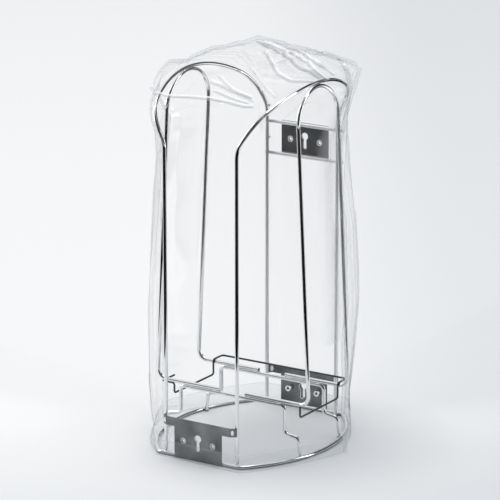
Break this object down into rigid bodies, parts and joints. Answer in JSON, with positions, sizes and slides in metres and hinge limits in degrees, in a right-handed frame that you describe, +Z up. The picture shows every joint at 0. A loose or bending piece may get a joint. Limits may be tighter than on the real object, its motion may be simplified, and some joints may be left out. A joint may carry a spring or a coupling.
{
  "type": "plastic bag holder",
  "caption": "Free-standing wire rack for stacked safety helmets, with screw plates, a strap rail and a clear film dust bag pulled over it",
  "frame": {"origin": "on the floor, in the middle of the base ring and of the bag's mouth", "axes": "+Z up, X along the front from left to right, +Y from the front to the wall side"},
  "size_m": [0.36, 0.324, 0.6227],
  "materials": {
    "chromed_wire": "bright polished chrome",
    "polished_sheet": "polished sheet steel, mirror-like",
    "coated_wire": "black coating, satin",
    "clear_film": "clear thin film, glossy, crinkled"
  },
  "bodies": {
    "rack": {"base_ring": "chromed_wire", "wide_hoop_left": "chromed_wire", "wide_hoop_right": "chromed_wire", "side_hoop_left": "chromed_wire", "side_hoop_right": "chromed_wire", "seat_gate_front": "chromed_wire", "seat_gate_rear": "chromed_wire", "high_rail_top": "chromed_wire", "high_rail_bottom": "chromed_wire", "front_low_plate": "polished_sheet", "rear_low_plate": "polished_sheet", "rear_high_plate": "polished_sheet", "strap_rail": "coated_wire"},
    "dust_bag": {"bag_front_sheet": "clear_film", "bag_rear_sheet": "clear_film", "bag_front_hem": "clear_film", "bag_rear_hem": "clear_film", "bag_side_seal_left": "clear_film", "bag_side_seal_right": "clear_film", "bag_top_seal": "clear_film"}
  },
  "joints": [
    {"name": "bag_lift", "type": "slide", "parent": "rack", "child": "dust_bag", "axis": [0, 0, 1], "range_m": [0, 0.7]}
  ]
}
